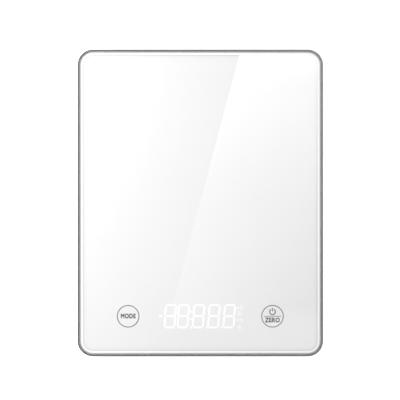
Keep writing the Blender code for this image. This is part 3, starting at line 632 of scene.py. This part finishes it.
def add_key_marks():
    """A ring around each touch key. The left key sets the units, the right is power and zero."""
    for side, center in (("left", LEFT_KEY), ("right", RIGHT_KEY)):
        radii = (KEY_RING_RADIUS, KEY_RING_RADIUS - KEY_RING_STROKE)
        mesh = plate_mesh("ring", [arc(center, radius, 0, 354, 59) for radius in radii])
        add_piece(f"key_ring_{side}", mesh, INK)
    for name, text, center, size, narrow in (
        ("mode", "MODE", LEFT_KEY, 4.0, 0.8),
        ("zero", "ZERO", RIGHT_KEY + ZERO_LABEL_OFFSET, 4.1, 0.84),
    ):
        mesh = text_mesh(name, text, center, size * MM, LABEL_WEIGHT, narrow)
        add_piece(f"key_label_{name}", mesh, LABEL_INK)
    divider = box_outline(-DIVIDER_REACH, DIVIDER_REACH, RIGHT_KEY)
    add_piece("key_divider", plate_mesh("divider", [divider]), INK)
    add_power_mark(RIGHT_KEY + POWER_MARK_OFFSET)


def add_power_mark(center):
    """The standard sign for power: a ring that is open at its top, with a bar in the gap."""
    outer, inner, steps = 2.2 * MM, 1.5 * MM, 40
    half_gap = 32
    start, end = 90 + half_gap, 450 - half_gap
    broken = arc(center, outer, start, end, steps) + arc(center, inner, end, start, steps)
    half_width, low, high = 0.3 * MM, 0.3 * MM, 2.5 * MM
    bar = box_outline((-half_width, low), (half_width, high), center)
    add_piece("key_power_mark", plate_mesh("power", [broken, bar]), INK)


# The lit display, behind the print


def leaning(x, y):
    """A point of the display, leaned to the right about its middle line."""
    return Vector((x + y * DIGIT_LEAN, y + DISPLAY_Y))


def bar_outline(start, end):
    """One segment: a bar with pointed ends, which are two places on the upright display."""
    start, end = Vector(start), Vector(end)
    along = (end - start).normalized()
    side = Vector((-along.y, along.x)) * STROKE / 2
    tip = along * STROKE / 2
    right_side = (start + tip - side, end - tip - side)
    left_side = (end - tip + side, start + tip + side)
    return [leaning(*corner) for corner in (start, *right_side, end, *left_side)]


def digit_outlines(center_x):
    """All seven segments of a digit."""
    half_width, half_height = (DIGIT_WIDTH - STROKE) / 2, (DIGIT_HEIGHT - STROKE) / 2
    left, right = center_x - half_width, center_x + half_width
    bars = []
    for y in (-half_height, 0, half_height):
        bars.append(bar_outline((left + SEGMENT_GAP, y), (right - SEGMENT_GAP, y)))
    for x in (left, right):
        for low, high in ((-half_height, 0), (0, half_height)):
            bars.append(bar_outline((x, low + SEGMENT_GAP), (x, high - SEGMENT_GAP)))
    return bars


def dot_outline(x, y):
    return arc(leaning(x, y), DOT_RADIUS, 0, 342, 19)


def add_display():
    """Five digits with all their segments lit, their signs and points, and the units."""
    groups = [(f"digit_{i}", digit_outlines(x)) for i, x in enumerate(DIGIT_CENTERS, 1)]
    groups += [
        ("minus_sign", [bar_outline(*[(x, 0) for x in MINUS_SPAN])]),
        ("colon", [dot_outline(COLON_X, y) for y in COLON_HEIGHTS]),
        ("decimal_points", [dot_outline(x * MM, POINT_Y) for x in POINT_XS]),
    ]
    for name, outlines in groups:
        add_piece(name, plate_mesh(name, outlines), LIT)
    for row, unit in enumerate(UNITS):
        center = (UNIT_X, DISPLAY_Y + (UNIT_TOP - UNIT_PITCH * row) * MM)
        mesh = text_mesh(unit, unit, center, UNIT_SIZE, UNIT_WEIGHT, shear=UNIT_SHEAR)
        add_piece(f"unit_{unit}", mesh, DIM)


# The studio


def emission_material(name, strength):
    material = bpy.data.materials.new(name)
    material.use_nodes = True
    tree = material.node_tree
    tree.nodes.remove(tree.nodes["Principled BSDF"])
    emission = tree.nodes.new("ShaderNodeEmission")
    tree.links.new(emission.outputs["Emission"], tree.nodes["Material Output"].inputs["Surface"])
    emission.inputs["Strength"].default_value = strength
    return material, tree, emission


def add_stage(name, mesh, material):
    """A piece of the studio, which isn't part of the scale."""
    obj = bpy.data.objects.new(name, mesh)
    mesh.materials.append(material)
    bpy.context.scene.collection.objects.link(obj)
    return obj


def add_floor():
    """A pale floor with a glow that keeps it white around the scale, and a painted contact shadow
    where the glow fades out under it.
    """
    bm = bmesh.new()
    bmesh.ops.create_circle(bm, cap_ends=True, segments=64, radius=FLOOR_RADIUS)
    shade = Shade("floor", (0.9, 0.9, 0.9), 0.9, emission_color=(1, 1, 1, 1))
    # Painted contact shadow: the glow drops from the open floor's level to a low one under the
    # scale
    inwards = shade.distance_inside(cad_high, FLOOR_SHADOW_CORNER)
    under = shade.math("MULTIPLY", inwards, 1 / FLOOR_SHADOW_FADE)
    glow = shade.ramp(under, [(0.0, FLOOR_GLOW), (1.0, FLOOR_PAINTED_SHADOW_GLOW)])
    shade.set(shade.shader, "Emission Strength", glow)
    floor = add_stage("floor", mesh_from(bm, "floor"), shade.material)
    floor.location.z = FLOOR_HEIGHT


def mirrored(point):
    """Where the camera's view of a point on the glass lands on the card, once it is mirrored."""
    return VIEW_MIDDLE + (Vector(point) - VIEW_MIDDLE) * CARD_REACH


def card_material():
    """A glow that grows towards the card's far end, and more so on its right."""
    material, tree, emission = emission_material("card", 1.0)
    split = tree.nodes.new("ShaderNodeSeparateXYZ")
    tree.links.new(tree.nodes.new("ShaderNodeTexCoord").outputs["Object"], split.inputs["Vector"])

    def ramp(axis, start, end, low, high):
        """A level that runs from low to high between two places on the glass."""
        node = tree.nodes.new("ShaderNodeMapRange")
        tree.links.new(split.outputs[axis], node.inputs["Value"])
        number = "XY".index(axis)
        node.inputs["From Min"].default_value = mirrored((start, start))[number]
        node.inputs["From Max"].default_value = mirrored((end, end))[number]
        node.inputs["To Min"].default_value, node.inputs["To Max"].default_value = low, high
        return node.outputs["Result"]

    def combine(operation, first, second):
        node = tree.nodes.new("ShaderNodeMath")
        node.operation = operation
        tree.links.new(first, node.inputs[0])
        tree.links.new(second, node.inputs[1])
        return node.outputs["Value"]

    start, end, gain = CARD_BASE
    total = ramp("Y", start, end, WORLD_STRENGTH, WORLD_STRENGTH + gain)
    for gain_start, gain_end, gain in CARD_GAINS:
        total = combine("ADD", total, ramp("Y", gain_start, gain_end, 0.0, gain))
    to_the_right = ramp("X", *CARD_RIGHT_SPAN, 0.0, CARD_RIGHT_GAIN)
    slant = ramp("Y", -CARD_TILT_REACH, CARD_TILT_REACH, -1.0, 1.0)
    front_edge = ramp("Y", end, start, 0.0, CARD_FRONT_GAIN)
    tilt = combine("ADD", slant, front_edge)
    total = combine("ADD", total, combine("MULTIPLY", to_the_right, tilt))
    tree.links.new(total, emission.inputs["Strength"])
    return material


def add_card():
    """A soft card over the camera. Its slanted edge is the straight reflection across the glass."""
    slope = (HIGHLIGHT_TOP - HIGHLIGHT_BOTTOM) / (HIGHLIGHT_TOP - HIGHLIGHT_BOTTOM).y
    near, far = [HIGHLIGHT_TOP + slope * (y - HIGHLIGHT_TOP.y) for y in (CARD_NEAR, CARD_FAR)]
    corners = (near, (CARD_RIGHT, CARD_NEAR), (CARD_RIGHT, CARD_FAR), far)
    bm = bmesh.new()
    bm.faces.new([bm.verts.new((*mirrored(corner), CARD_HEIGHT)) for corner in corners])
    card = add_stage("card", mesh_from(bm, "card"), card_material())
    card.visible_diffuse = False
    card.visible_shadow = False


def add_dark_ring():
    """A low dark wall far around the scale, which only its shiny surfaces see."""
    bm = bmesh.new()
    outline = arc((0, 0), HORIZON_RADIUS, 0, 360 - 360 / HORIZON_SIDES, HORIZON_SIDES - 1)
    heights = (HORIZON_LOW, HORIZON_HIGH)
    low, high = [[bm.verts.new((*point, z)) for point in outline] for z in heights]
    for i in range(HORIZON_SIDES):
        j = (i + 1) % HORIZON_SIDES
        bm.faces.new((low[i], low[j], high[j], high[i]))
    material = emission_material("dark_ring", HORIZON_GLOW)[0]
    ring = add_stage("dark_ring", mesh_from(bm, "dark_ring"), material)
    ring.visible_camera = False
    ring.visible_diffuse = False
    ring.visible_shadow = False


def add_key_light():
    """A soft lamp at the scale's left, aimed at its middle. Shiny surfaces don't mirror it."""
    data = bpy.data.lights.new("key_light", "AREA")
    data.shape = "RECTANGLE"
    data.size, data.size_y = KEY_SIZE
    data.energy = KEY_POWER
    light = bpy.data.objects.new("key_light", data)
    light.location = KEY_PLACE
    light.rotation_euler = (-Vector(KEY_PLACE)).to_track_quat("-Z", "Y").to_euler()
    light.visible_camera = False
    light.visible_glossy = False
    bpy.context.scene.collection.objects.link(light)


def add_world():
    """Even light from all sides. The camera itself sees it as white as the floor."""
    world = bpy.data.worlds.new("studio")
    bpy.context.scene.world = world
    world.use_nodes = True
    tree = world.node_tree
    background = tree.nodes["Background"]
    background.inputs["Color"].default_value = (1, 1, 1, 1)
    strength = tree.nodes.new("ShaderNodeMapRange")
    strength.inputs["To Min"].default_value = WORLD_STRENGTH
    strength.inputs["To Max"].default_value = BACKGROUND_STRENGTH
    path = tree.nodes.new("ShaderNodeLightPath")
    tree.links.new(path.outputs["Is Camera Ray"], strength.inputs["Value"])
    tree.links.new(strength.outputs["Result"], background.inputs["Strength"])


def add_camera():
    """A long lens straight above the scale."""
    data = bpy.data.cameras.new("camera")
    data.lens = data.sensor_width * (CAMERA_HEIGHT - cad_high.z) / VIEW_WIDTH
    data.clip_start, data.clip_end = 0.05, 50
    camera = bpy.data.objects.new("camera", data)
    camera.location = (*VIEW_MIDDLE, CAMERA_HEIGHT)
    bpy.context.scene.collection.objects.link(camera)
    bpy.context.scene.camera = camera


dress_cad_nodes()
add_glass()
add_enamel()
add_key_marks()
add_display()
add_floor()
add_card()
add_dark_ring()
add_key_light()
add_world()
add_camera()
bpy.context.scene.view_settings.view_transform = "Standard"
